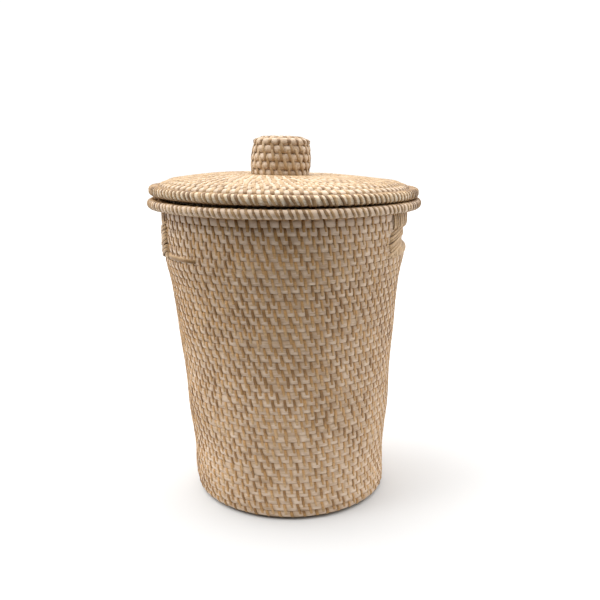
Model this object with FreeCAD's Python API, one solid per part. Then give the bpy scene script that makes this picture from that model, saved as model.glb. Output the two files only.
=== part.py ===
"""Lidded coiled rattan wastebasket, in millimetres.

The frame has its origin at floor level on the basket's centre line, +Z up, with a hand hole
on each side at +X and -X. Rows of round rattan core are coiled on each other and sewn with
peel, so every wall here is a shell one core thick, turned about the centre line. The sewn
rows themselves are not cut into these solids. The lid lifts straight off.
"""
import FreeCAD, Part
import math
import os

# ---- basket body ----
foot_radius = 98.0          # outside of the ring that the basket stands on
foot_width = 10.0
foot_height = 3.0
base_radius = 103.0         # outside of the wall where it leaves the heel
base_thickness = 7.0
base_centre_radius = 9.0    # the first turns that the base coil starts from
heel_round = 5.0            # rounding of the heel's lower outer edge
wall_thickness = 7.0        # one core with its sewing
wall_top = 300.0
wall_rows = 40              # coiled rows from the heel to the top of the wall
upright_rows = 6            # rows in the upright part, the heel among them
upright_flare = 0.7         # how far the upright part widens to its top
shoulder_inset = 1.2        # the wall's outside under the hand holes inside its top
mouth_radius = 126.0        # outside of the wall at its top

# ---- hand holes ----
hole_width = 70.0
hole_rows = 3               # rows left out for the hole
binding_lip = 2.5           # how far the sill's and the grip's binding reaches into the gap
binding_proud = 1.2         # how far the bound edges stand out of the wall, inside and out
binding_round = 2.6
end_binding_width = 25.0

# ---- rim ----
flange_coil_radius = 4.9
flange_seat_depth = 0.6     # how far the flange coil is flattened onto the wall's top
rim_coil_radius = 5.0
rim_rise = 1.0              # the rim coil's centre above the flange coil's
coil_bite = 0.4             # flattening where two coils are sewn together

# ---- lid ----
lid_gap = 1.2               # between the rim coil and the lid's edge coil
lid_set_back = 2.5          # the lid's edge inside the rim's outer line
lid_edge_coil_radius = 5.3
lid_edge_bite = 1.1
lid_thickness = 7.0
edge_step = 6.5             # top of the disc's outer edge above the edge coil's centre
lid_shoulder_width = 16.0   # outer rows that turn down more steeply
lid_shoulder_drop = 5.1
lid_shoulder_bulge = 0.45
lid_dome_rise = 8.6
seat_clearance = 0.3        # between the lid's seat coil and the flange coil it rests on
seat_width = 7.0
seat_round = 3.0
locating_clearance = 2.5    # between the locating ring and the inside of the mouth
locating_width = 7.0
locating_depth = 3.0        # how far the locating ring reaches below the top of the wall
locating_round = 3.0

# ---- knob ----
knob_radius = 31.1
knob_end_inset = 1.2        # the knob's foot and its shoulder inside its widest part
knob_height = 35.0          # above the crown of the lid
knob_wall_thickness = 7.0
knob_top_thickness = 7.4
knob_top_round = 8.5

# ---- places worked out from those sizes ----
Z_AXIS = FreeCAD.Vector(0, 0, 1)
ORIGIN = FreeCAD.Vector(0, 0, 0)
FAR = 100.0                 # reach of the outlines that only trim others
row_pitch = (wall_top - foot_height) / wall_rows
heel_top = foot_height + row_pitch
straight_top = foot_height + upright_rows * row_pitch
straight_radius = base_radius + upright_flare
upper_row_z = wall_top - row_pitch
gap_top = upper_row_z - row_pitch
gap_bottom = gap_top - hole_rows * row_pitch
shoulder_z = gap_bottom - row_pitch
hole_top = gap_top - binding_lip
hole_bottom = gap_bottom + binding_lip
shoulder_radius = mouth_radius - shoulder_inset
knob_end_radius = knob_radius - knob_end_inset
hole_half_angle = math.degrees(math.asin(hole_width / 2 / shoulder_radius))
window_half_angle = hole_half_angle + math.degrees(end_binding_width / shoulder_radius)

flange_z = wall_top - flange_seat_depth + flange_coil_radius
flange_top = flange_z + flange_coil_radius
coil_joint = mouth_radius + flange_coil_radius - coil_bite
rim_radius = coil_joint - coil_bite + rim_coil_radius
rim_z = flange_z + rim_rise
rim_top = rim_z + rim_coil_radius
rim_outside = rim_radius + rim_coil_radius

lid_edge_radius = rim_outside - lid_set_back - lid_edge_coil_radius
lid_edge_z = rim_top + lid_gap + lid_edge_coil_radius
disc_radius = lid_edge_radius - lid_edge_coil_radius + lid_edge_bite
disc_edge_top = lid_edge_z + edge_step
crown_z = disc_edge_top + lid_shoulder_drop + lid_dome_rise
mouth_inside = mouth_radius - wall_thickness


def point(radius, z):
    """A point of a section, in the plane through the centre line that holds +X."""
    return FreeCAD.Vector(radius, 0, z)


def wall_radius(z):
    """Outside radius of the wall at height z: upright, then flaring, then nearly upright."""
    stations = [(foot_height, base_radius), (straight_top, straight_radius),
                (shoulder_z, shoulder_radius), (wall_top, mouth_radius)]
    for (z_low, r_low), (z_high, r_high) in zip(stations, stations[1:]):
        if z <= z_high:
            return r_low + (r_high - r_low) * (z - z_low) / (z_high - z_low)
    return mouth_radius


def outline(start, *steps):
    """A closed flat face. A step is a point to go straight to, or (middle, end) of an arc."""
    edges = []
    here = start
    for step in steps + (start,):
        if isinstance(step, tuple):
            edges.append(Part.Arc(here, step[0], step[1]).toShape())
            here = step[1]
        elif (step - here).Length > 1e-9:
            edges.append(Part.makeLine(here, step))
            here = step
    return Part.Face(Part.Wire(edges))


def turned(face, start_angle=0.0, sweep=360.0):
    """The face turned about the centre line, from start_angle through sweep degrees."""
    solid = face.revolve(ORIGIN, Z_AXIS, sweep)
    if start_angle:
        solid.rotate(ORIGIN, Z_AXIS, start_angle)
    return solid


def box_face(r_low, r_high, z_low, z_high):
    """A rectangular section."""
    return outline(point(r_low, z_low), point(r_high, z_low), point(r_high, z_high),
                   point(r_low, z_high))


def coil_face(radius, z, tube_radius):
    """The round section of a coil whose core runs at this radius and height."""
    return Part.Face(Part.Wire(Part.makeCircle(tube_radius, point(radius, z),
                                               FreeCAD.Vector(0, 1, 0))))


def rounded_face(r_low, r_high, z_low, z_high, corner):
    """A rectangular section with all four corners rounded."""
    slant = corner * (1 - math.sqrt(0.5))
    return outline(
        point(r_low + corner, z_low),
        point(r_high - corner, z_low),
        (point(r_high - slant, z_low + slant), point(r_high, z_low + corner)),
        point(r_high, z_high - corner),
        (point(r_high - slant, z_high - slant), point(r_high - corner, z_high)),
        point(r_low + corner, z_high),
        (point(r_low + slant, z_high - slant), point(r_low, z_high - corner)),
        point(r_low, z_low + corner),
        (point(r_low + slant, z_low + slant), point(r_low + corner, z_low)))


def hanging_face(r_low, r_high, z_low, z_high, corner):
    """A rectangular section whose two lower corners are rounded."""
    slant = corner * (1 - math.sqrt(0.5))
    return outline(
        point(r_low + corner, z_low),
        point(r_high - corner, z_low),
        (point(r_high - slant, z_low + slant), point(r_high, z_low + corner)),
        point(r_high, z_high),
        point(r_low, z_high),
        point(r_low, z_low + corner),
        (point(r_low + slant, z_low + slant), point(r_low + corner, z_low)))


def wall_face(z_low, z_high):
    """The wall's section between two heights, one core thick."""
    low = wall_radius(z_low)
    high = wall_radius(z_high)
    return outline(point(low - wall_thickness, z_low), point(low, z_low),
                   point(high, z_high), point(high - wall_thickness, z_high))


def first_solid(shape):
    """The one solid of a turned section that was trimmed."""
    return shape.Solids[0]


def base_pieces():
    """The foot ring, the base's two coiled pieces, and the heel coil round them."""
    inner = base_radius - wall_thickness
    slant = heel_round * (1 - math.sqrt(0.5))
    heel_outside = wall_radius(heel_top)
    heel = outline(
        point(inner, foot_height),
        point(base_radius - heel_round, foot_height),
        (point(base_radius - slant, foot_height + slant),
         point(base_radius, foot_height + heel_round)),
        point(heel_outside, heel_top),
        point(heel_outside - wall_thickness, heel_top))
    base_top = foot_height + base_thickness
    return {
        "foot_ring": turned(box_face(foot_radius - foot_width, foot_radius, 0, foot_height)),
        "base_centre": turned(box_face(0, base_centre_radius, foot_height, base_top)),
        "base_disc": turned(box_face(base_centre_radius, inner, foot_height, base_top)),
        "heel_coil": turned(heel),
    }


def wall_pieces():
    """The wall's rows: upright, flaring, the two panels between the hand holes, the top row."""
    panel = wall_face(shoulder_z, upper_row_z)
    panel_sweep = 180 - 2 * window_half_angle
    return {
        "wall_lower": turned(wall_face(heel_top, straight_top)),
        "wall_middle": turned(wall_face(straight_top, shoulder_z)),
        "wall_back_panel": turned(panel, window_half_angle, panel_sweep),
        "wall_front_panel": turned(panel, 180 + window_half_angle, panel_sweep),
        "wall_upper_row": turned(wall_face(upper_row_z, wall_top)),
    }


def hole_pieces(side, middle_angle):
    """The bound edges of one hand hole: sill, grip and the two ends."""
    low = shoulder_radius - wall_thickness - binding_proud
    high = wall_radius(upper_row_z) + binding_proud
    sill = rounded_face(low, high, shoulder_z, hole_bottom, binding_round)
    grip = rounded_face(low, high, hole_top, upper_row_z, binding_round)
    end = rounded_face(low, high, hole_bottom, hole_top, binding_round)
    window_start = middle_angle - window_half_angle
    end_sweep = window_half_angle - hole_half_angle
    ends = {
        "end_a": turned(end, window_start, end_sweep),
        "end_b": turned(end, middle_angle + hole_half_angle, end_sweep),
    }
    # the end nearer -Y is the front one on either side
    front, back = ("end_a", "end_b") if side == "right" else ("end_b", "end_a")
    return {
        side + "_hole_sill": turned(sill, window_start, 2 * window_half_angle),
        side + "_hole_grip": turned(grip, window_start, 2 * window_half_angle),
        side + "_hole_front_end": ends[front],
        side + "_hole_back_end": ends[back],
    }


def rim_pieces():
    """The flange coil on the wall's top and the thick rim coil sewn round it."""
    flange = coil_face(mouth_radius, flange_z, flange_coil_radius)
    flange = flange.common(box_face(mouth_radius - FAR, coil_joint, wall_top, wall_top + FAR))
    rim = coil_face(rim_radius, rim_z, rim_coil_radius)
    rim = rim.common(box_face(coil_joint, coil_joint + FAR, rim_z - FAR, rim_z + FAR))
    return {
        "rim_flange_coil": first_solid(turned(flange.Faces[0])),
        "rim_coil": first_solid(turned(rim.Faces[0])),
    }


def dome_steps(drop):
    """The lid's top line from the crown to the disc's edge, lowered by drop.

    The crown is a spherical cap; the shoulder is a tighter arc down to the edge.
    """
    shoulder_r = disc_radius - lid_shoulder_width
    shoulder_top = crown_z - lid_dome_rise
    ball = (shoulder_r ** 2 + lid_dome_rise ** 2) / (2 * lid_dome_rise)
    half = shoulder_r / 2
    cap_middle = crown_z - ball + math.sqrt(ball ** 2 - half ** 2)
    chord_z = (shoulder_top + disc_edge_top) / 2
    return [
        point(0, crown_z - drop),
        (point(half, cap_middle - drop), point(shoulder_r, shoulder_top - drop)),
        (point(disc_radius - lid_shoulder_width / 2, chord_z + lid_shoulder_bulge - drop),
         point(disc_radius, disc_edge_top - drop)),
    ]


def lid_pieces():
    """The lid's domed disc, its edge coil, and the seat coil and locating ring under it."""
    top_line = dome_steps(0)
    low_line = dome_steps(lid_thickness)
    # the underside's steps, walked back from the edge to the crown
    low_back = [point(disc_radius, disc_edge_top - lid_thickness),
                (low_line[2][0], low_line[1][1]), (low_line[1][0], low_line[0])]
    disc = outline(*top_line, *low_back)
    over_underside = outline(*low_line, point(disc_radius, crown_z + FAR), point(0, crown_z + FAR))
    edge = coil_face(lid_edge_radius, lid_edge_z, lid_edge_coil_radius)
    edge = edge.common(box_face(disc_radius, disc_radius + FAR, lid_edge_z - FAR, lid_edge_z + FAR))
    seat = hanging_face(mouth_radius - seat_width + lid_edge_bite, mouth_radius + lid_edge_bite,
                        flange_top + seat_clearance, crown_z, seat_round)
    locating_outside = mouth_inside - locating_clearance
    locating = hanging_face(locating_outside - locating_width, locating_outside,
                            wall_top - locating_depth, crown_z, locating_round)
    return {
        "lid_disc": turned(disc),
        "lid_edge_coil": first_solid(turned(edge.Faces[0])),
        "lid_seat_coil": first_solid(turned(seat.cut(over_underside).Faces[0])),
        "lid_locating_ring": first_solid(turned(locating.cut(over_underside).Faces[0])),
    }


def knob_pieces():
    """The knob's coiled side, standing on the dome, and its coiled top."""
    knob_top = crown_z + knob_height
    side_top = knob_top - knob_top_thickness
    inside = knob_end_radius - knob_wall_thickness
    foot = crown_z - lid_dome_rise
    middle = (crown_z + side_top) / 2
    side = outline(
        point(inside, foot),
        point(knob_end_radius, foot),
        point(knob_end_radius, crown_z),
        (point(knob_radius, middle), point(knob_end_radius, side_top)),
        point(inside, side_top))
    top_line = dome_steps(0)
    under_top = outline(*top_line, point(disc_radius, crown_z - FAR), point(0, crown_z - FAR))
    slant = knob_top_round * (1 - math.sqrt(0.5))
    rise = knob_top_thickness / knob_top_round
    top = outline(
        point(0, side_top),
        point(knob_end_radius, side_top),
        (point(knob_end_radius - slant, knob_top - slant * rise),
         point(knob_end_radius - knob_top_round, knob_top)),
        point(0, knob_top))
    return {
        "knob_side": first_solid(turned(side.cut(under_top).Faces[0])),
        "knob_top": turned(top),
    }


def main():
    """Build every piece, write one STEP file for each, and print what was made."""
    pieces = {}
    pieces.update(base_pieces())
    pieces.update(wall_pieces())
    pieces.update(hole_pieces("right", 0.0))
    pieces.update(hole_pieces("left", 180.0))
    pieces.update(rim_pieces())
    pieces.update(lid_pieces())
    pieces.update(knob_pieces())
    os.makedirs("parts", exist_ok=True)
    for name, shape in pieces.items():
        shape.exportStep(os.path.join("parts", name + ".step"))
        extent = shape.optimalBoundingBox(False)
        print(f"{name}: {len(shape.Solids)} solid, valid {shape.isValid()}, "
              f"{shape.Volume:.0f} mm3, x {extent.XMin:.2f} to {extent.XMax:.2f}, "
              f"z {extent.ZMin:.2f} to {extent.ZMax:.2f}")


main()
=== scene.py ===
"""Lidded coiled-rattan wastebasket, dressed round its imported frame.

Walls, base, lid and knob are rows of rattan core laid on each other and sewn with strips of
peel. A row is a rounded-square section carried round the basket's axis. A strip is a flat
closed loop that runs over its own row and bites into the row before it. Lengths are in
millimetres and angles in radians until a mesh is made.
"""
import math

import bpy
import numpy as np
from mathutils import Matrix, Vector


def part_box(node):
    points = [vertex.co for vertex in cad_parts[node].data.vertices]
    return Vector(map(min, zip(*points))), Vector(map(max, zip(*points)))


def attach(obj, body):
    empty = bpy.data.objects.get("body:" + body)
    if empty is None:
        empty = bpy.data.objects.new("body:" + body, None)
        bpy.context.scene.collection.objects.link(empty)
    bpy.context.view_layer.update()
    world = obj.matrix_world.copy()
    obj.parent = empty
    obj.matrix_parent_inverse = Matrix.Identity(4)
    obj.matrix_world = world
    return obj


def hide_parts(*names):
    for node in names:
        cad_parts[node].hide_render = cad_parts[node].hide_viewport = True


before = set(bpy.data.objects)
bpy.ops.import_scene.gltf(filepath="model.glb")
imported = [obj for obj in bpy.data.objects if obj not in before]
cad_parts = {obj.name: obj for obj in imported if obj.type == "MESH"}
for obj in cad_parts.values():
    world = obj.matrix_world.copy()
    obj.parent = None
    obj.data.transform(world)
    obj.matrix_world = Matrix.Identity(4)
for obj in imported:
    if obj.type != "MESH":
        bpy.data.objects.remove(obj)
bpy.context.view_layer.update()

METRE = 1000.0
TURN = 2 * math.pi
OUT = np.array([1.0, 0.0])          # in a section through the axis: away from it
UP = np.array([0.0, 1.0])
VIEW_TURN = math.radians(5.5)       # the front faces this far round from -Y
RIGHT = np.array([math.cos(VIEW_TURN), math.sin(VIEW_TURN)])
NO_STITCHES = np.array([])

# ---- how the rattan is worked ----
core_half_depth = 3.1       # half the thickness of a row, across the wall
core_squareness = 2.7       # 2 is a round section, more is squarer
core_sides = 12             # corners of a row's section
core_steps = 7              # sections of a row from one stitch to the next
row_press = 0.85            # how far a wall row is pressed into each neighbour
peel_width = 3.2
peel_thickness = 0.8
peel_lift = -0.28           # a strip's middle above the plain core, so it lies in its own crease
binding_thickness = 1.1     # the doubled peel at the ends of a hand hole
stitch_gap_low = 12.4       # between stitches at the foot of the wall
stitch_gap_high = 9.8       # and from the middle of the wall upwards
stitch_gap_flat = 9.8       # on the base and inside the lid
stitch_gap_lid = 7.8        # on the lid's top and the knob
stitch_lean = 0.16          # sideways run of a strip for each millimetre along it
lid_shift = 0.3             # how far round each lid row's stitches are set over, in gaps
wrap_width = 3.5            # of the strips round the rim and the lid's edge
wrap_lean = 0.45
post_wrap_width = 3.4       # of the strips round the upright ends of a hand hole
post_wrap_lean = 0.32
sill_wrap_gap = 3.2
grip_wrap_gap = 4.4
lid_peel_width = 4.5
lid_lean = 0.2
knob_peel_width = 3.9
knob_lean = 0.26
base_row_count = 13
lid_row_count = 17
ring_row_count = 3
foot_stitch_count = 52      # round the lowest row of the wall
ring_stitch_count = 74      # round the first row of the locating ring
rim_wrap_count = 141
flange_wrap_count = 110
edge_wrap_count = 139
seat_wrap_count = 96

# ---- half sizes of the coils, outwards and upwards ----
foot_halves = (4.6, 1.65)
flange_halves = (4.9, 4.9)
rim_halves = (5.0, 4.75)
edge_halves = (6.0, 5.1)
seat_halves = (3.3, 4.7)
sill_half_depth = 3.7       # of the binding over a hand hole's lower edge
grip_half_depth = 3.8       # and under its upper edge
bound_half_depth = 3.2      # of the core inside both
ring_half_height = 4.1      # of a row of the locating ring

# ---- how uneven the handwork is ----
wall_wander = 0.7           # walls in and out
row_wander = 0.5            # rows up and down
row_tilt = 0.022            # rows climb to the right, in the middle of the wall
foot_set_over = 3.8         # the foot stands this far to the right of the mouth
heel_set_over = 1.8         # and the lowest rows this much more
flank_rise = 1.3            # rim and lid rise this much towards both sides
lid_tilt = 0.0112           # the lid lies lower on the right
dome_tilt = 0.012           # and its dome lower still
lid_raise = 0.5             # what the tilt needs to keep the lid's edge off the rim
knob_set_over = -3.4        # the knob is sewn on left of the middle


def low_high(node):
    """The node's lowest and highest corners in millimetres."""
    low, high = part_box(node)
    return np.array(low) * METRE, np.array(high) * METRE


# ---- sizes from the frame ----
heel_low, heel_high = low_high("heel_coil")
row_pitch = heel_high[2] - heel_low[2]
wall_bottom = heel_low[2]
wall_stages = [low_high(node)[1] for node in ("wall_lower", "wall_middle", "wall_upper_row")]
wall_top = wall_stages[-1][2]
wall_rows = round((wall_top - wall_bottom) / row_pitch)
wall_heights = np.array([wall_bottom] + [high[2] for high in wall_stages])
wall_reaches = np.array([heel_high[0]] + [high[0] for high in wall_stages])
sill_low, sill_high = low_high("right_hole_sill")
grip_low, grip_high = low_high("right_hole_grip")
end_low, end_high = low_high("right_hole_back_end")
window_half_angle = math.atan2(sill_high[1], sill_low[0])
hole_half_angle = math.atan2(end_low[1], end_high[0])
sill_row = round((sill_low[2] - wall_bottom) / row_pitch)
grip_row = round((grip_high[2] - wall_bottom) / row_pitch) - 1
flange_high = low_high("rim_flange_coil")[1]
rim_high = low_high("rim_coil")[1]
edge_high = low_high("lid_edge_coil")[1]
disc_high = low_high("lid_disc")[1]
seat_low, seat_high = low_high("lid_seat_coil")
ring_low, ring_high = low_high("lid_locating_ring")
side_high = low_high("knob_side")[1]
knob_top_high = low_high("knob_top")[1]
foot_low, foot_high = low_high("foot_ring")
base_low, base_high = low_high("base_disc")
wall_thickness = heel_high[0] - base_high[0]
HOLE_SIDES = {"right": 0.0, "left": math.pi}
BINDING_SWELL = {"right": 0.0, "left": 1.5}


# ---- meshes ----
class Shape:
    """Points, faces and per-point values gathered for one mesh."""

    def __init__(self):
        """Starts with nothing gathered."""
        self.points = []
        self.faces = []
        self.values = {"tone": [], "along": [], "across": [], "crease": []}
        self.count = 0

    def add(self, points, faces, tone, along, across, crease=0.0):
        """Adds one closed surface, turned so that its faces point outwards."""
        corners = points[faces]
        fan = np.cross(corners[:, 1] - corners[:, 0], corners[:, 2] - corners[:, 0])
        fan = fan + np.cross(corners[:, 2] - corners[:, 0], corners[:, 3] - corners[:, 0])
        if np.sum(fan * corners.mean(1)) < 0:
            faces = faces[:, ::-1]
        self.points.append(points)
        self.faces.append(faces + self.count)
        for name, value in (("tone", tone), ("along", along), ("across", across),
                            ("crease", crease)):
            self.values[name].append(np.broadcast_to(value, len(points)))
        self.count += len(points)

    def make(self, name, finish, body, nodes):
        """The mesh object, riding on its body and standing for its frame nodes."""
        mesh = bpy.data.meshes.new(name)
        points = np.concatenate(self.points) / METRE
        faces = np.concatenate(self.faces)
        mesh.vertices.add(len(points))
        mesh.vertices.foreach_set("co", points.astype(np.float32).ravel())
        mesh.loops.add(faces.size)
        mesh.loops.foreach_set("vertex_index", faces.astype(np.int32).ravel())
        mesh.polygons.add(len(faces))
        mesh.polygons.foreach_set("loop_start", np.arange(0, faces.size, 4, dtype=np.int32))
        mesh.update(calc_edges=True)
        for key, parts in self.values.items():
            attribute = mesh.attributes.new(key, "FLOAT", "POINT")
            attribute.data.foreach_set("value", np.concatenate(parts).astype(np.float32))
        mesh.shade_smooth()
        mesh.materials.append(finish)
        piece = bpy.data.objects.new(name, mesh)
        bpy.context.scene.collection.objects.link(piece)
        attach(piece, body)
        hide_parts(*nodes)


def grid_faces(copies, along, around, closed):
    """Quads of a grid of tubes: wrapped round the section, and along it too if closed."""
    i = np.arange(along if closed else along - 1)[:, None]
    j = np.arange(around)[None, :]
    here = i * around
    ahead = ((i + 1) % along) * around
    right = (j + 1) % around
    one = np.stack([here + j, here + right, ahead + right, ahead + j], -1).reshape(-1, 4)
    shift = np.arange(copies) * along * around
    return (one[None] + shift[:, None, None]).reshape(-1, 4)


def turned_points(radius, z, angle):
    """Cartesian points from radius, height and angle arrays."""
    return np.stack([radius * np.cos(angle), radius * np.sin(angle), z + 0 * angle], -1)


def rounded_path(half_out, half_back, steps, squareness):
    """A closed rounded square about the middle: cosine and sine raised to 2 / squareness."""
    theta = np.arange(steps) * TURN / steps - math.pi / 2
    power = 2 / squareness
    return np.stack([half_out * np.sign(np.cos(theta)) * np.abs(np.cos(theta)) ** power,
                     half_back * np.sign(np.sin(theta)) * np.abs(np.sin(theta)) ** power], -1)


def path_faces_out(path):
    """Unit vectors square to a closed path at its points, pointing out of it."""
    ahead = np.roll(path, -1, 0) - np.roll(path, 1, 0)
    ahead = ahead / np.linalg.norm(ahead, axis=1)[:, None]
    return np.stack([ahead[:, 1], -ahead[:, 0]], -1)


# ---- unevenness ----
def wander(angle, height, seed):
    """A smooth uneven field round a basket: a sum of waves in angle and height, near -1 to 1."""
    rng = np.random.default_rng(seed)
    waves = 4
    total = np.zeros(np.broadcast(angle, height).shape)
    for _ in range(waves):
        turns = rng.integers(1, 9)
        total = total + np.cos(turns * angle + height * rng.uniform(-0.09, 0.09)
                               + rng.uniform(0, TURN))
    return total / math.sqrt(waves * 2)


def smooth_step(x):
    """0 below 0, 1 above 1, and eased between."""
    x = np.clip(x, 0, 1)
    return x * x * (3 - 2 * x)


def handmade(points, body):
    """A handmade basket's unevenness: the foot is set over to one side, walls wander in and
    out, rows tilt a little, and the lid lies slightly skewed on the rim."""
    x, y, z = points.T
    angle = np.arctan2(y, x)
    radius = np.hypot(x, y)
    across = points[:, :2] @ RIGHT
    flanks = flank_rise * (across / 140) ** 2
    result = points.copy()
    if body == "basket":
        swell = wander(angle, z, 11) * wall_wander * smooth_step(radius / 60)
        wall = smooth_step((z - 12) / 30)
        result[:, 0] += np.cos(angle) * swell * wall
        result[:, 1] += np.sin(angle) * swell * wall
        lean = foot_set_over * (1 - smooth_step((z - 40) / 230))
        lean = lean + heel_set_over * (1 - smooth_step(z / 25))
        result[:, :2] += lean[:, None] * RIGHT
        middle = smooth_step((z - 25) / 60) * (1 - smooth_step((z - 235) / 60))
        result[:, 2] += flanks * smooth_step((z - 285) / 15)
        result[:, 2] += (row_tilt * across + row_wander * wander(angle, z, 12)) * middle
    else:
        dome = 1 - smooth_step((radius - 60) / 72)
        result[:, 2] += lid_raise - (lid_tilt + dome_tilt * dome) * across
        result[:, 2] += 0.15 * wander(angle, 0.0, 13) * radius / 130
        result[:, 2] += flanks
        result[:, :2] += -0.6 * RIGHT
        knob = smooth_step((z - 326) / 8) * smooth_step((48 - radius) / 14)
        knob_lean = knob_set_over * knob + 0.05 * (z - 345) * knob
        result[:, :2] += knob_lean[:, None] * RIGHT
    return result


# ---- rows of core ----
def nearest_gap(angle, stitches):
    """Angle from each value to the nearest stitch round the full turn."""
    ring = np.concatenate([stitches[-1:] - TURN, stitches, stitches[:1] + TURN])
    wrapped = np.mod(angle, TURN)
    after = np.clip(np.searchsorted(ring, wrapped), 1, len(ring) - 1)
    return np.minimum(np.abs(ring[after] - wrapped), np.abs(ring[after - 1] - wrapped))


def add_row(shape, body, centre, out, up, half_depth, half_height, stitches, seed,
            spans=None, pinch=0.15, squareness=core_squareness):
    """One row of core: a rounded-square section carried round the axis at the centre's radius
    and height, drawn in where each stitch crosses it. spans lists (start, sweep) of a row that
    is broken by the hand holes; such a span is closed by drawing its ends to a blunt tip."""
    rng = np.random.default_rng(seed)
    theta = np.arange(core_sides) * TURN / core_sides
    power = 2 / squareness
    depth = half_depth * np.sign(np.cos(theta)) * np.abs(np.cos(theta)) ** power
    height = half_height * np.sign(np.sin(theta)) * np.abs(np.sin(theta)) ** power
    closed = spans is None
    for start, sweep in spans or [(0.0, TURN)]:
        steps = int(max(len(stitches), 6) * core_steps * sweep / TURN) + 4
        angle = start + sweep * np.arange(steps) / (steps if closed else steps - 1)
        tip = np.ones(steps)
        if not closed:
            tip[[0, -1]] = 0.02
            tip[[1, -2]] = 0.93
            angle[1] = angle[0]
            angle[-2] = angle[-1]
        draw = np.ones((steps, core_sides))
        crease = 0.0
        if len(stitches):
            drift = stitch_lean * (half_height - height) / centre[0]
            off = nearest_gap(angle[:, None] - drift[None, :], stitches) * centre[0]
            draw = 1 - pinch * np.exp(-(off / 1.8) ** 2)
            # nearness to a stitch's pinch; the core finish lays painted shade in this crease
            crease = np.exp(-(off / 2.6) ** 2).ravel()
        knobbly = 1 + 0.03 * wander(angle * 3, seed * 1.7, seed + 5)[:, None]
        n = depth[None, :] * draw * knobbly * tip[:, None]
        h = height[None, :] * (0.75 + 0.25 * draw) * tip[:, None]
        radius = centre[0] + n * out[0] + h * up[0]
        z = centre[1] + n * out[1] + h * up[1]
        points = turned_points(radius, z, angle[:, None] + 0 * n).reshape(-1, 3)
        faces = grid_faces(1, steps, core_sides, closed)
        if not closed:
            k = np.arange(core_sides // 2 - 1)
            end = np.stack([k, k + 1, core_sides - 2 - k, core_sides - 1 - k], -1)
            faces = np.concatenate([faces, end[:, ::-1], end + (steps - 1) * core_sides])
        along = np.repeat(angle * centre[0], core_sides)
        across = np.tile(np.sin(theta), steps)
        shape.add(handmade(points, body), faces, rng.uniform(), along, across, crease)


# ---- strips of peel ----
# A stitch's path: out from the row's middle in half depths, back towards the row before in
# pitches. It leaves the seam, crosses its row, bridges the next seam and bites in half way.
STITCH_PATH = np.array([
    (0.00, -0.53), (0.84, -0.43), (1.05, -0.10), (1.02, 0.28), (0.96, 0.62), (1.05, 0.92),
    (0.86, 1.12), (0.00, 1.17),
    (-0.86, 1.12), (-1.05, 0.88), (-0.96, 0.55), (-1.05, 0.05), (-0.84, -0.43)])
# A strip's section, crowned: sideways in widths, up in thicknesses.
STRIP_SECTION = np.array([(-0.50, -0.50), (-0.30, 0.50), (0.30, 0.50), (0.50, -0.50)])
BINDING_SECTION = np.array([(-0.50, -0.50), (-0.32, 0.50), (0.32, 0.50), (0.50, -0.50)])


def add_strips(shape, body, centre, out, back, path, angles, seed,
               width=peel_width, lean=stitch_lean, jitter=0.05, shade=(0.0, 1.0)):
    """Closed strips of peel: each follows the path, in millimetres out of the wall and back
    towards the row before, drifts sideways by lean as it goes back, and carries the strip's
    crowned section. All the strips of a row are worked out at once."""
    rng = np.random.default_rng(seed)
    count = len(angles)
    if count == 0:
        return
    face = path_faces_out(path)
    spread = TURN * centre[0] / count
    place = angles + rng.normal(0, jitter, count) * min(spread, 10) / centre[0]
    leans = (lean * rng.normal(1, 0.22, count))[:, None, None]
    widths = (width * rng.normal(1, 0.09, count))[:, None, None]
    thick = (peel_thickness * rng.uniform(0.85, 1.15, count))[:, None, None]
    side, lift = STRIP_SECTION.T
    # axes are: strip, station on the path, point of the section
    n = path[None, :, None, 0] + face[None, :, None, 0] * lift * thick
    b = path[None, :, None, 1] + face[None, :, None, 1] * lift * thick
    radius = centre[0] + n * out[0] + b * back[0]
    z = centre[1] + n * out[1] + b * back[1]
    start = path[:, 1].min()
    depth = np.ptp(path[:, 1])
    drift = leans * (path[None, :, None, 1] - start) - leans * 0.25 * depth
    angle = place[:, None, None] + (drift + side * widths) / np.maximum(radius, 2.0)
    points = turned_points(radius, z, angle).reshape(-1, 3)
    faces = grid_faces(count, len(path), len(side), True)
    step = np.linalg.norm(np.diff(path, axis=0), axis=1)
    run = np.concatenate([[0], np.cumsum(step)])
    shades = shade[0] + (shade[1] - shade[0]) * (path[:, 1] - start) / depth
    tone = np.repeat(rng.uniform(0, 1, count), len(path) * len(side))
    shape.add(handmade(points, body), faces, tone,
              np.tile(np.repeat(run, len(side)), count) + 40 * tone,
              np.tile(np.repeat(shades, len(side)), count))


def next_angles(before, wanted, seed, shift):
    """Stitch places on the next row: each set over from the last row's by a share of the gap,
    with stitches let in at the widest gaps or left out at the narrowest, then evened by
    averaging with neighbours."""
    rng = np.random.default_rng(seed)
    before = np.sort(np.mod(before, TURN))
    gaps = np.diff(np.concatenate([before, before[:1] + TURN]))
    angles = before + gaps * shift
    while len(angles) < wanted:
        gaps = np.diff(np.concatenate([angles, angles[:1] + TURN]))
        widest = int(np.argmax(gaps * rng.uniform(0.7, 1.3, len(gaps))))
        angles = np.insert(angles, widest + 1, angles[widest] + gaps[widest] / 2)
    while len(angles) > wanted:
        gaps = np.diff(np.concatenate([angles, angles[:1] + TURN]))
        angles = np.delete(angles, int(np.argmin(gaps * rng.uniform(0.7, 1.3, len(gaps)))))
    for _ in range(8):
        lower = np.concatenate([angles[-1:] - TURN, angles[:-1]])
        upper = np.concatenate([angles[1:], angles[:1] + TURN])
        angles = angles + 0.3 * (lower + upper - 2 * angles)
    return np.sort(np.mod(angles, TURN))


# ---- sewn rows ----
def unit(vector):
    """The vector at length 1."""
    return vector / np.linalg.norm(vector)


def outward(back, side):
    """The wall's outward direction: back, towards the row before, turned a quarter turn."""
    return side * np.array([-back[1], back[0]])


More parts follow.
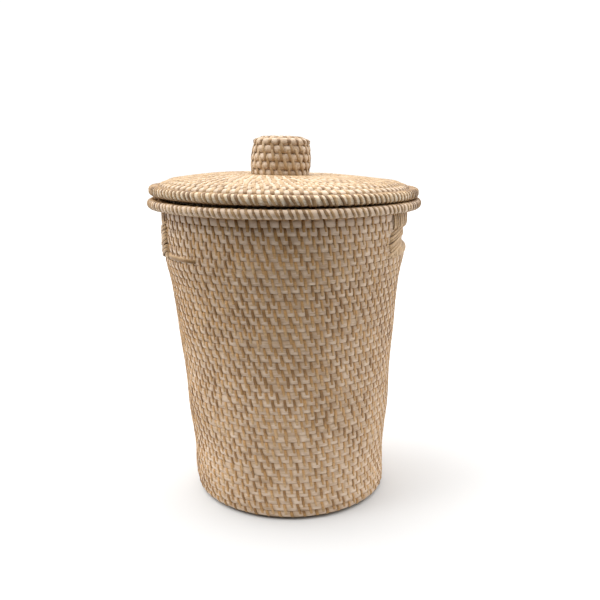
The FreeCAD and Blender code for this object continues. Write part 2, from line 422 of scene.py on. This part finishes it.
def sewn_rows(centres, side, body, first_count, gap_at, seed, half_heights,
              half_depth=core_half_depth, shift=0.5):
    """Rows in order of making, each with the directions of its core and of its stitches, and
    the stitches' places. A shift of a half lays the stitches like bricks, and less makes them
    line up in spirals."""
    rows = []
    angles = np.arange(first_count) * TURN / first_count
    for k, centre in enumerate(centres):
        back = centres[k - 1] - centre if k else centre - centres[1]
        pitch = np.linalg.norm(back)
        back = unit(back)
        flow = back
        if 0 < k < len(centres) - 1:
            flow = unit(centres[k - 1] - centres[k + 1])
        if k:
            wanted = max(4, round(TURN * centre[0] / gap_at(centre)))
            angles = next_angles(angles, wanted, seed + k, shift)
        rows.append({"centre": centre, "back": back, "out": outward(back, side),
                     "core_out": outward(flow, side), "core_up": -flow, "pitch": pitch,
                     "angles": angles, "half_height": half_heights[k],
                     "half_depth": half_depth, "seed": seed * 31 + k, "body": body})
    return rows


def row_core(shape, row, spans=None, squareness=core_squareness):
    """The core of one sewn row."""
    add_row(shape, row["body"], row["centre"], row["core_out"], row["core_up"],
            row["half_depth"], row["half_height"], row["angles"], row["seed"], spans,
            squareness=squareness)


def row_stitches(shape, row, keep=slice(None), width=peel_width, lean=stitch_lean,
                 shade=(0.08, 0.82)):
    """The stitches of one sewn row, all of them or those that keep marks."""
    scale = np.array([row["half_depth"] + peel_lift, row["pitch"]])
    add_strips(shape, row["body"], row["centre"], row["out"], row["back"], STITCH_PATH * scale,
               row["angles"][keep], row["seed"] + 7, width=width, lean=lean, shade=shade)


# ---- wall ----
def wall_outside(z):
    """Outside radius of the wall: the frame's straight lines eased over a few rows, drawn in
    a little along the flare so that it swells out again under the hand holes."""
    eased = np.interp(z + np.linspace(-14, 14, 9), wall_heights, wall_reaches).mean()
    hollow = smooth_step((z - 70) / 100) * (1 - smooth_step((z - 228) / 30))
    return eased - 2.6 * hollow


def wall_stitch_gap(centre):
    """Wide stitches at the foot, closer from the middle up."""
    return stitch_gap_low + (stitch_gap_high - stitch_gap_low) * smooth_step(centre[1] / 190)


def in_window(angles):
    """True where an angle lies in one of the hand holes' windows."""
    offset = np.abs(np.mod(angles + math.pi / 2, math.pi) - math.pi / 2)
    return offset < window_half_angle


wall_middles = wall_bottom + row_pitch * (np.arange(wall_rows) + 0.5)
wall_centres = np.array([(wall_outside(z) - wall_thickness / 2, z) for z in wall_middles])
wall_centres[0, 0] -= 0.9
wall_set = sewn_rows(wall_centres, 1, "basket", foot_stitch_count, wall_stitch_gap, 100,
                     np.full(wall_rows, row_pitch / 2 + row_press))
wall_set[0]["half_height"] -= 0.8
under_bindings = [(middle + hole_half_angle + 0.02, math.pi - 2 * hole_half_angle - 0.04)
                  for middle in HOLE_SIDES.values()]


def wall_piece(name, first, last, core_finish, peel_finish, nodes):
    """Core and stitches of the wall rows from first to last, as two pieces. The lowest row is
    wrapped round by itself, and the windows' stitches are left out for the bindings."""
    core = Shape()
    sewing = Shape()
    for k in range(first, last + 1):
        row = wall_set[k]
        row_core(core, row, under_bindings if sill_row < k < grip_row else None)
        if k == 0:
            loop = rounded_path(row["half_depth"] + 0.1, row["half_height"] + 0.1, 12, 2.6)
            add_strips(sewing, "basket", row["centre"], row["out"], row["back"], loop,
                       row["angles"], row["seed"] + 7)
        elif k < sill_row:
            row_stitches(sewing, row)
        else:
            row_stitches(sewing, row, ~in_window(row["angles"]))
    core.make(name + "_core", core_finish, "basket", nodes)
    sewing.make(name + "_sewing", peel_finish, "basket", nodes)


# ---- hand holes ----
def dense_angles(middle, half_angle, radius, gap):
    """Evenly crowded wraps over a stretch of row."""
    count = int(2 * half_angle * radius / gap)
    return middle + (np.arange(count) + 0.5 - count / 2) * gap / radius


def add_post_wraps(shape, middle, half_angle, heights, half_depth, seed):
    """Slanting wraps round the upright end of a hand hole: each is a rounded-square loop that
    runs along the wall outside, turns in at both sides and comes back inside."""
    rng = np.random.default_rng(seed)
    count = len(heights)
    radius = np.array([wall_outside(z) - wall_thickness / 2 for z in heights])[:, None, None]
    path = rounded_path(half_depth, half_angle * radius.mean(), 20, 4.5)
    face = path_faces_out(path)
    side, lift = BINDING_SECTION.T
    grow = rng.normal(1, 0.06, count)[:, None, None]
    lift = lift * binding_thickness
    n = (path[None, :, None, 0] + face[None, :, None, 0] * lift) * grow
    s = (path[None, :, None, 1] + face[None, :, None, 1] * lift) * grow
    s = s + rng.normal(0, 0.9, count)[:, None, None]
    leans = (post_wrap_lean + rng.normal(0, 0.03, count))[:, None, None]
    z = heights[:, None, None] + side * post_wrap_width + leans * s
    points = turned_points(radius + n, z, middle + s / radius).reshape(-1, 3)
    tone = np.repeat(rng.uniform(0, 1, count), len(path) * len(side))
    run = np.tile(np.repeat(path[:, 1], len(side)), count)
    shape.add(handmade(points, "basket"), grid_faces(count, len(path), len(side), True),
              tone, run + 40 * tone, 0.65)


def hole_piece(side, core_finish, peel_finish):
    """The bound edges of one hand hole: sill and grip wraps, the wraps of the two ends, and
    on the left the end of the binding, laid flat along the wall."""
    middle = HOLE_SIDES[side]
    reach = window_half_angle - 0.01
    binding = Shape()
    sill_middle = np.array([wall_centres[sill_row][0] + 0.2,
                            (sill_low[2] + sill_high[2]) / 2 - 1.0])
    half_sill = (sill_high[2] - sill_low[2]) / 2
    add_strips(binding, "basket", sill_middle, OUT, -UP,
               rounded_path(sill_half_depth, half_sill, 14, 2.6),
               dense_angles(middle, reach, sill_middle[0], sill_wrap_gap), 700 + len(side),
               width=3.7, lean=0.30, jitter=0.06, shade=(0.5, 0.9))
    grip_wraps = Shape()
    grip_bottom = grip_low[2] + 1.2
    grip_middle = np.array([wall_centres[grip_row][0] + 0.4, (grip_bottom + wall_top) / 2])
    half_grip = (wall_top - grip_bottom) / 2
    add_strips(grip_wraps, "basket", grip_middle, OUT, -UP,
               rounded_path(grip_half_depth, half_grip, 18, 3.4),
               dense_angles(middle, window_half_angle, grip_middle[0], grip_wrap_gap),
               720 + len(side),
               width=3.4, lean=0.20, jitter=0.07, shade=(0.35, 0.9))
    post_half = (window_half_angle - hole_half_angle) / 2
    heights = np.linspace(sill_high[2] - 5.0, grip_low[2] + 1.5, 8)
    for end, sense in enumerate((-1, 1)):
        add_post_wraps(binding, middle + sense * (hole_half_angle + post_half), post_half,
                       heights, 4.0 + BINDING_SWELL[side], 740 + end + 3 * len(side))
    if side == "left":
        tail = np.array([wall_centres[sill_row][0] + 3.2, sill_middle[1] - 0.6])
        add_row(binding, "basket", tail, OUT, UP, 0.7, 2.2, NO_STITCHES, 755,
                [(middle + window_half_angle - 0.06, 0.50)], squareness=2.2)
    nodes = [side + "_hole_" + part for part in ("sill", "grip", "front_end", "back_end")]
    binding.make(side + "_hole_binding", peel_finish, "basket", nodes)
    grip_wraps.make(side + "_grip_binding", peel_finish, "basket", nodes[1:2])
    core = Shape()
    for centre, half_height in ((sill_middle, half_sill - 0.3), (grip_middle, half_grip - 0.4)):
        add_row(core, "basket", centre, OUT, UP, bound_half_depth, half_height, NO_STITCHES,
                760 + int(half_height), [(middle - reach, 2 * reach)])
    core.make(side + "_hole_core", core_finish, "basket", nodes)


# ---- rim and edge coils ----
def wrapped_coil(name, body, middle, halves, count, seed, finishes, node, squareness=2.0):
    """A round coil sewn all over: a plain core and slanting wraps round it."""
    half_depth, half_height = halves
    core = Shape()
    angles = np.arange(count) * TURN / count
    add_row(core, body, middle, OUT, UP, half_depth - 0.45, half_height - 0.45, angles, seed,
            pinch=0.08)
    core.make(name + "_core", finishes[0], body, [node])
    wraps = Shape()
    path = rounded_path(half_depth - 0.35, half_height - 0.35, 14, squareness + 0.2)
    add_strips(wraps, body, middle, OUT, -UP, path, angles, seed + 1, width=wrap_width,
               lean=wrap_lean, jitter=0.07, shade=(0.15, 0.6))
    wraps.make(name + "_wraps", finishes[1], body, [node])


# ---- base ----
def flat_rows(reach, count):
    """Radii of rows laid flat from the middle out, and their pitch."""
    pitch = reach / count
    return pitch * (np.arange(count) + 0.5), pitch


def flat_gap(centre):
    """Even stitches on the base and the locating ring, whatever the row."""
    return stitch_gap_flat


def lid_gap(centre):
    """Even stitches on the lid and the knob, whatever the row."""
    return stitch_gap_lid


def build_base(core_finish, peel_finish, foot_finish):
    """The coiled base, made from the middle out, and the flat ring it stands on."""
    radii, pitch = flat_rows(base_high[0], base_row_count)
    centres = np.stack([radii, np.full(base_row_count, (base_low[2] + base_high[2]) / 2)], -1)
    half = np.full(base_row_count, pitch / 2 + 0.1)
    half[0] = pitch / 2 - 0.1
    rows = sewn_rows(centres, 1, "basket", 5, flat_gap, 300, half)
    for name, chosen, node in (("base_centre", rows[:1], "base_centre"),
                               ("base", rows[1:], "base_disc")):
        core = Shape()
        sewing = Shape()
        for row in chosen:
            row_core(core, row)
            row_stitches(sewing, row)
        core.make(name + "_core", core_finish, "basket", [node])
        sewing.make(name + "_sewing", peel_finish, "basket", [node])
    middle = np.array([foot_high[0] - 5, (foot_low[2] + foot_high[2]) / 2 + 0.2])
    foot = Shape()
    add_row(foot, "basket", middle, OUT, UP, *foot_halves, np.arange(60) * TURN / 60, 350,
            pinch=0.05)
    foot.make("foot_ring_core", foot_finish, "basket", ["foot_ring"])


# ---- lid ----
def lid_top(radius):
    """Height of the lid's outside: a shallow dome with a steeper turn down at its edge, sunk
    a little round the knob."""
    shoulder = disc_high[0] - 16
    dome = 8.6 * np.minimum(radius / shoulder, 1) ** 2
    turn_down = 6.0 * np.clip((radius - shoulder) / 16, 0, None) ** 1.35
    sink = 2.5 * (1 - smooth_step((radius - 25) / 45))
    return disc_high[2] - dome - turn_down - sink


def lid_piece(name, rows, core_finish, peel_finish, node, width=peel_width, lean=stitch_lean,
              squareness=core_squareness):
    """Core and stitches of rows that belong to the lid, as two pieces."""
    core = Shape()
    sewing = Shape()
    for row in rows:
        row_core(core, row, squareness=squareness)
        row_stitches(sewing, row, width=width, lean=-lean, shade=(0.0, 1.0))
    core.make(name + "_core", core_finish, "lid", [node])
    sewing.make(name + "_sewing", peel_finish, "lid", [node])


def build_lid(core_finish, peel_finish):
    """The coiled lid, made from the middle out, and its locating ring."""
    radii, pitch = flat_rows(disc_high[0], lid_row_count)
    slope = (lid_top(radii + 1) - lid_top(radii - 1)) / 2
    normal = np.stack([-slope, np.ones(lid_row_count)], -1) / np.hypot(slope, 1)[:, None]
    centres = np.stack([radii, lid_top(radii)], -1) - normal * 3.5
    half = np.full(lid_row_count, pitch / 2 + 0.45)
    half[0] = pitch / 2 - 0.1
    rows = sewn_rows(centres, -1, "lid", 6, lid_gap, 400, half, shift=lid_shift)
    lid_piece("lid", rows, core_finish, peel_finish, "lid_disc", lid_peel_width,
              lid_lean)
    heights = np.linspace(ring_high[2] - 3.9, ring_low[2] + 3.9, ring_row_count)
    centres = np.stack([np.full(ring_row_count, ring_high[0] - 3.5), heights], -1)
    half = np.full(ring_row_count, ring_half_height)
    rows = sewn_rows(centres, -1, "lid", ring_stitch_count, flat_gap, 450, half,
                     core_half_depth - 0.3)
    lid_piece("locating_ring", rows, core_finish, peel_finish, "lid_locating_ring")


def build_knob(core_finish, peel_finish):
    """The knob, begun in the middle of its top and worked out and down to the lid."""
    reach = side_high[0] - 3.6
    top = knob_top_high[2] - 3.5
    top_rows = np.array([(3.5, top), (10.7, top + 0.2), (18.2, top - 0.2),
                         (reach - 2.6, top - 2.6)])
    side_heights = np.linspace(top - 10.0, lid_top(reach) + 1.0, 4)
    bulge = 1.2 * (1 - ((side_heights - side_heights.mean()) / 13) ** 2)
    side_rows = np.stack([reach - 1.2 + bulge, side_heights], -1)
    half = np.array([3.4, 3.9, 4.0, 4.1, 4.3, 4.3, 4.3, 4.3])
    rows = sewn_rows(np.concatenate([top_rows, side_rows]), -1, "lid", 5, lid_gap, 500, half)
    top_count = len(top_rows)
    lid_piece("knob_top", rows[:top_count], core_finish, peel_finish, "knob_top",
              knob_peel_width, knob_lean, 2.15)
    lid_piece("knob_side", rows[top_count:], core_finish, peel_finish, "knob_side",
              knob_peel_width, knob_lean, 2.2)


# ---- materials ----
class Look:
    """A node tree, with short ways to add nodes and join them."""

    def __init__(self, tree):
        """Takes the tree that the nodes go in."""
        self.tree = tree

    def node(self, kind, **settings):
        """A new node with its settings."""
        made = self.tree.nodes.new(kind)
        for key, value in settings.items():
            setattr(made, key, value)
        return made

    def feed(self, socket, source):
        """Sets a socket to a number or colour, or joins it to another socket."""
        if isinstance(source, bpy.types.NodeSocket):
            self.tree.links.new(source, socket)
        else:
            socket.default_value = source

    def value(self, name):
        """A value that the mesh carries at each point."""
        return self.node("ShaderNodeAttribute", attribute_name=name).outputs["Fac"]

    def place(self):
        """Where the point is on the object."""
        return self.node("ShaderNodeTexCoord").outputs["Object"]

    def maths(self, operation, first, second=0.0, third=0.0):
        """Arithmetic on two or three values."""
        made = self.node("ShaderNodeMath", operation=operation)
        for socket, source in zip(made.inputs, (first, second, third)):
            self.feed(socket, source)
        return made.outputs[0]

    def add(self, first, second):
        """The sum of two values."""
        return self.maths("ADD", first, second)

    def scaled(self, source, factor):
        """A value times a factor."""
        return self.maths("MULTIPLY", source, factor)

    def about_half(self, source):
        """A value less a half, so that it swings both ways."""
        return self.maths("SUBTRACT", source, 0.5)

    def vector(self, x, y, z):
        """A vector from its three parts."""
        made = self.node("ShaderNodeCombineXYZ")
        for socket, source in zip(made.inputs, (x, y, z)):
            self.feed(socket, source)
        return made.outputs[0]

    def noise(self, where, scale, detail=2.0):
        """Cloudy noise from 0 to 1."""
        made = self.node("ShaderNodeTexNoise")
        self.feed(made.inputs["Vector"], where)
        made.inputs["Scale"].default_value = scale
        made.inputs["Detail"].default_value = detail
        return made.outputs["Fac"]

    def between(self, source, low, high, to_low=0.0, to_high=1.0):
        """Source mapped from low..high to to_low..to_high, eased and held at the ends."""
        made = self.node("ShaderNodeMapRange", interpolation_type="SMOOTHSTEP")
        for socket, value in zip(made.inputs, (source, low, high, to_low, to_high)):
            self.feed(socket, value)
        return made.outputs[0]

    def mix(self, factor, first, second, blend="MIX"):
        """Two colours mixed, or the second laid on the first by the blend."""
        made = self.node("ShaderNodeMix", data_type="RGBA", blend_type=blend)
        self.feed(made.inputs[0], factor)
        self.feed(made.inputs[6], first)
        self.feed(made.inputs[7], second)
        return made.outputs[2]

    def bump(self, height, strength, distance):
        """Small relief."""
        made = self.node("ShaderNodeBump")
        made.inputs["Strength"].default_value = strength
        made.inputs["Distance"].default_value = distance
        self.feed(made.inputs["Height"], height)
        return made.outputs[0]


def new_finish(name, shine):
    """A new material with a constant specular level, its look and its shader's sockets."""
    finish = bpy.data.materials.new(name)
    finish.use_nodes = True
    shader = finish.node_tree.nodes["Principled BSDF"].inputs
    shader["Specular IOR Level"].default_value = shine
    return finish, Look(finish.node_tree), shader


def make_core_finish(name, raw, wash, painted_shade_colour, painted_light_line=None):
    """Whitewashed rattan core: long fibres with pigment caught in some of them, worn patches and
    raw specks. Painted shade: the side of each row towards the next one is darker, and raw
    colour is laid in the pinched crease beside each stitch. Painted light: from a little below
    the painted light line upwards, the core is lightened towards the wash colour."""
    finish, look, shader = new_finish(name, 0.35)
    along = look.value("along")
    across = look.value("across")
    tone = look.value("tone")
    place = look.place()
    fibre_place = look.vector(look.scaled(along, 0.035), look.scaled(across, 4.5),
                              look.scaled(tone, 37.0))
    fibres = look.noise(fibre_place, 1.6, 4.0)
    patch_place = look.vector(look.scaled(along, 0.11), across, look.scaled(tone, 61.0))
    patches = look.noise(patch_place, 1.0, 3.0)
    washed = look.between(look.add(look.scaled(fibres, 0.55), look.scaled(patches, 0.6)),
                          0.42, 0.70)
    colour = look.mix(washed, raw, wash)
    # painted shade: the side of each row towards the next one is darkened towards the painted
    # shade colour
    colour = look.mix(look.between(across, -0.45, 0.95, 0.0, 0.75), colour, painted_shade_colour)
    # painted shade: raw colour laid in the pinched crease beside each stitch, made uneven by the
    # patch noise
    painted_crease_shade = look.add(look.value("crease"), look.scaled(look.about_half(patches), 0.5))
    colour = look.mix(look.between(painted_crease_shade, 0.25, 1.0, 0.0, 0.75), colour, raw)
    cloud = look.between(look.noise(place, 14.0, 2.0), 0.3, 0.7)
    shadow = look.mix(cloud, (0.86, 0.84, 0.81, 1), (1.0, 1.0, 1.0, 1))
    colour = look.mix(1.0, colour, shadow, "MULTIPLY")
    # painted light: from a little below the wall's top upwards, the core is lightened towards the
    # wash colour, lifting the top rows and the rim coil's core out of the shade under the rim and
    # lid
    if painted_light_line:
        height = look.node("ShaderNodeSeparateXYZ")
        look.feed(height.inputs[0], place)
        painted_light_under_rim = look.between(height.outputs[2], painted_light_line - 0.03, painted_light_line - 0.005,
                               0.0, 0.55)
        colour = look.mix(painted_light_under_rim, colour, wash)
    speck = look.between(look.noise(place, 900.0, 2.0), 0.62, 0.72, 0.0, 0.35)
    look.feed(shader["Base Color"], look.mix(speck, colour, raw))
    look.feed(shader["Roughness"], look.between(washed, 0.0, 1.0, 0.50, 0.72))
    grain = look.add(look.noise(fibre_place, 5.0, 3.0), look.noise(place, 1300.0, 2.0))
    look.feed(shader["Normal"], look.bump(grain, 0.45, 0.0004))
    return finish


def make_peel_finish(name, dark, middle, pale, gloss=0.42):
    """Rattan peel: fine lengthwise grain and each strip with its own tone. Painted shade: a strip
    is darker where it comes out of the seam and paler towards its far end, along its shade ramp;
    it is also paler in random patches where white wash has got onto it."""
    finish, look, shader = new_finish(name, 0.5)
    across = look.value("across")
    tone = look.value("tone")
    place = look.place()
    grain = look.noise(look.vector(look.scaled(look.value("along"), 0.5), tone, across), 2.4, 3.0)
    wear = look.noise(place, 260.0, 3.0)
    region = look.noise(place, 17.0, 2.0)
    # partly painted shade: across is each strip's shade ramp; tone, wear and region add random
    # paleness
    shade_and_paleness = look.add(across, look.scaled(look.about_half(tone), 0.75))
    shade_and_paleness = look.add(shade_and_paleness, look.scaled(look.about_half(wear), 0.9))
    shade_and_paleness = look.add(shade_and_paleness, look.scaled(look.about_half(region), 1.3))
    colour = look.mix(look.between(shade_and_paleness, -0.05, 0.42), dark, middle)
    colour = look.mix(look.between(shade_and_paleness, 0.40, 1.05), colour, pale)
    streaks = look.mix(look.between(grain, 0.3, 0.7), (0.80, 0.77, 0.72, 1),
                       (1.08, 1.06, 1.03, 1))
    look.feed(shader["Base Color"], look.mix(1.0, colour, streaks, "MULTIPLY"))
    look.feed(shader["Roughness"], look.between(grain, 0.2, 0.8, gloss, gloss + 0.15))
    look.feed(shader["Normal"], look.bump(look.add(grain, wear), 0.30, 0.0003))
    return finish


# In each core finish the fourth colour is its painted shade colour; for the body core the last
# argument is the line of its painted light under the rim.
body_core = make_core_finish("whitewashed_core", (0.50, 0.345, 0.22, 1), (0.80, 0.65, 0.515, 1),
                             (0.48, 0.345, 0.23, 1), wall_top / METRE)
lid_core = make_core_finish("whitewashed_lid_core", (0.51, 0.38, 0.26, 1), (0.82, 0.71, 0.59, 1),
                            (0.62, 0.50, 0.38, 1))
knob_core = make_core_finish("whitewashed_knob_core", (0.49, 0.355, 0.235, 1),
                             (0.75, 0.62, 0.50, 1), (0.50, 0.37, 0.25, 1))
edge_core = make_core_finish("whitewashed_edge_core", (0.66, 0.51, 0.34, 1), (0.93, 0.86, 0.74, 1),
                             (0.72, 0.58, 0.42, 1))
# painted shade: a nearly black brown core for parts that sit in deep shade, the flange inside the
# rim, the lid's seat coil and the foot ring
painted_shade_core = make_core_finish("painted_shade_dark_core", (0.22, 0.13, 0.06, 1), (0.34, 0.22, 0.11, 1),
                              (0.20, 0.12, 0.06, 1))
stitch_peel = make_peel_finish("golden_peel", (0.26, 0.140, 0.050, 1), (0.46, 0.265, 0.100, 1),
                               (0.57, 0.385, 0.21, 1))
lid_peel = make_peel_finish("golden_lid_peel", (0.27, 0.165, 0.08, 1), (0.40, 0.265, 0.135, 1),
                            (0.52, 0.375, 0.225, 1))
knob_peel = make_peel_finish("golden_knob_peel", (0.27, 0.165, 0.085, 1), (0.43, 0.285, 0.15, 1),
                             (0.55, 0.41, 0.265, 1))
binding_peel = make_peel_finish("pale_binding_peel", (0.27, 0.155, 0.062, 1),
                                (0.43, 0.275, 0.13, 1), (0.58, 0.41, 0.24, 1), 0.45)
edge_peel = make_peel_finish("edge_peel", (0.23, 0.135, 0.062, 1), (0.41, 0.265, 0.13, 1),
                             (0.59, 0.435, 0.27, 1))

# ---- the wall, its bindings and the base ----
lower_last = 5
middle_last = sill_row - 1
flare_rows = (middle_last - lower_last) // 3
flare_low = lower_last + 1
flare_middle = flare_low + flare_rows
flare_high = flare_middle + flare_rows
for name, first, last, nodes in (
        ("wall_foot", 0, 0, ["heel_coil"]),
        ("wall_lower", 1, lower_last, ["wall_lower"]),
        ("wall_flare_low", flare_low, flare_middle - 1, ["wall_middle"]),
        ("wall_flare_middle", flare_middle, flare_high - 1, ["wall_middle"]),
        ("wall_flare_high", flare_high, middle_last, ["wall_middle"]),
        ("wall_panels", sill_row, grip_row, ["wall_back_panel", "wall_front_panel"]),
        ("wall_upper_row", wall_rows - 1, wall_rows - 1, ["wall_upper_row"])):
    wall_piece(name, first, last, body_core, stitch_peel, nodes)
for hole_side in HOLE_SIDES:
    hole_piece(hole_side, body_core, binding_peel)
build_base(body_core, stitch_peel, painted_shade_core)

# ---- the coils round the mouth, the lid and the knob ----
flange_middle = np.array([flange_high[0] - 4.5, flange_high[2] - 4.9])
rim_middle = np.array([rim_high[0] - 5.0, rim_high[2] - 5.0])
edge_middle = np.array([edge_high[0] - 6.0, edge_high[2] - 5.8])
seat_middle = np.array([seat_high[0] - 3.5, (seat_low[2] + seat_high[2]) / 2])
wrapped_coil("rim_inner", "basket", flange_middle, flange_halves, flange_wrap_count, 600,
             (painted_shade_core, stitch_peel), "rim_flange_coil")
wrapped_coil("rim", "basket", rim_middle, rim_halves, rim_wrap_count, 610,
             (body_core, edge_peel), "rim_coil")
wrapped_coil("lid_edge", "lid", edge_middle, edge_halves, edge_wrap_count, 620,
             (edge_core, edge_peel), "lid_edge_coil", 2.6)
wrapped_coil("lid_seat", "lid", seat_middle, seat_halves, seat_wrap_count, 630,
             (painted_shade_core, stitch_peel), "lid_seat_coil", 2.4)
build_lid(lid_core, lid_peel)
build_knob(knob_core, knob_peel)

# ---- floor: pale and plain, ending just in front of the camera's view ----
floor_left, floor_right, floor_front, floor_back = -4, 4, -0.42, 6
floor_mesh = bpy.data.meshes.new("floor")
floor_mesh.from_pydata([(floor_left, floor_front, 0), (floor_right, floor_front, 0),
                        (floor_right, floor_back, 0), (floor_left, floor_back, 0)],
                       [], [(0, 1, 2, 3)])
floor = bpy.data.objects.new("floor", floor_mesh)
bpy.context.scene.collection.objects.link(floor)
floor_finish, _, floor_shader = new_finish("pale_floor", 0.0)
floor_shader["Base Color"].default_value = (0.57, 0.583, 0.6, 1)
floor_shader["Roughness"].default_value = 0.9
floor_mesh.materials.append(floor_finish)

# ---- studio light: brightest overhead and behind, over a white background ----
world = bpy.data.worlds.new("studio")
bpy.context.scene.world = world
world.use_nodes = True
world.node_tree.nodes.clear()
sky = Look(world.node_tree)
direction = sky.node("ShaderNodeSeparateXYZ")
sky.feed(direction.inputs[0], sky.node("ShaderNodeTexCoord").outputs["Generated"])
backward = direction.outputs[1]
upward = direction.outputs[2]
overhead = sky.between(sky.maths("MULTIPLY_ADD", backward, 0.12, upward), 0.1, 1.0, 0.0, 1.40)
behind = sky.between(backward, -0.50, 0.25, 0.05, 1.45)
fill = sky.node("ShaderNodeBackground")
sky.feed(fill.inputs["Color"], (1.0, 0.975, 0.945, 1))
sky.feed(fill.inputs["Strength"], sky.add(overhead, behind))
seen = sky.node("ShaderNodeBackground")
sky.feed(seen.inputs["Color"], (1, 1, 1, 1))
sky.feed(seen.inputs["Strength"], 1.05)
chooser = sky.node("ShaderNodeMixShader")
sky.feed(chooser.inputs[0], sky.node("ShaderNodeLightPath").outputs["Is Camera Ray"])
sky.feed(chooser.inputs[1], fill.outputs[0])
sky.feed(chooser.inputs[2], seen.outputs[0])
sky.feed(sky.node("ShaderNodeOutputWorld").inputs[0], chooser.outputs[0])


def soft_sun(name, strength, spread, elevation, from_left, colour):
    """A broad soft source, so high above the floor and so far round to the left of the view."""
    light = bpy.data.lights.new(name, "SUN")
    light.energy = strength
    light.angle = math.radians(spread)
    light.color = colour
    holder = bpy.data.objects.new(name, light)
    bpy.context.scene.collection.objects.link(holder)
    holder.rotation_euler = (math.radians(90 - elevation), 0, VIEW_TURN - math.radians(from_left))


soft_sun("overhead_key", 1.35, 50, 60, 82, (1.0, 0.985, 0.96))
soft_sun("low_window", 0.75, 22, 40, 70, (1.0, 0.985, 0.96))
soft_sun("right_fill", 0.55, 60, 20, -80, (1.0, 0.98, 0.95))

# ---- camera: level with the rim, a little to the right, looking down at the basket ----
camera_distance = 0.7368
camera_right = 0.01575
camera_height = 0.3627
camera_pitch = 77.648
camera = bpy.data.cameras.new("camera")
camera.sensor_width = 36.0
camera.lens = 42.28
camera.clip_start = 0.05
camera.clip_end = 60
viewer = bpy.data.objects.new("camera", camera)
bpy.context.scene.collection.objects.link(viewer)
forward = np.array([-math.sin(VIEW_TURN), math.cos(VIEW_TURN)])
stand = camera_right * RIGHT - camera_distance * forward
viewer.location = (stand[0], stand[1], camera_height)
viewer.rotation_euler = (math.radians(camera_pitch), 0, VIEW_TURN)
bpy.context.scene.camera = viewer
bpy.context.scene.view_settings.view_transform = "Standard"
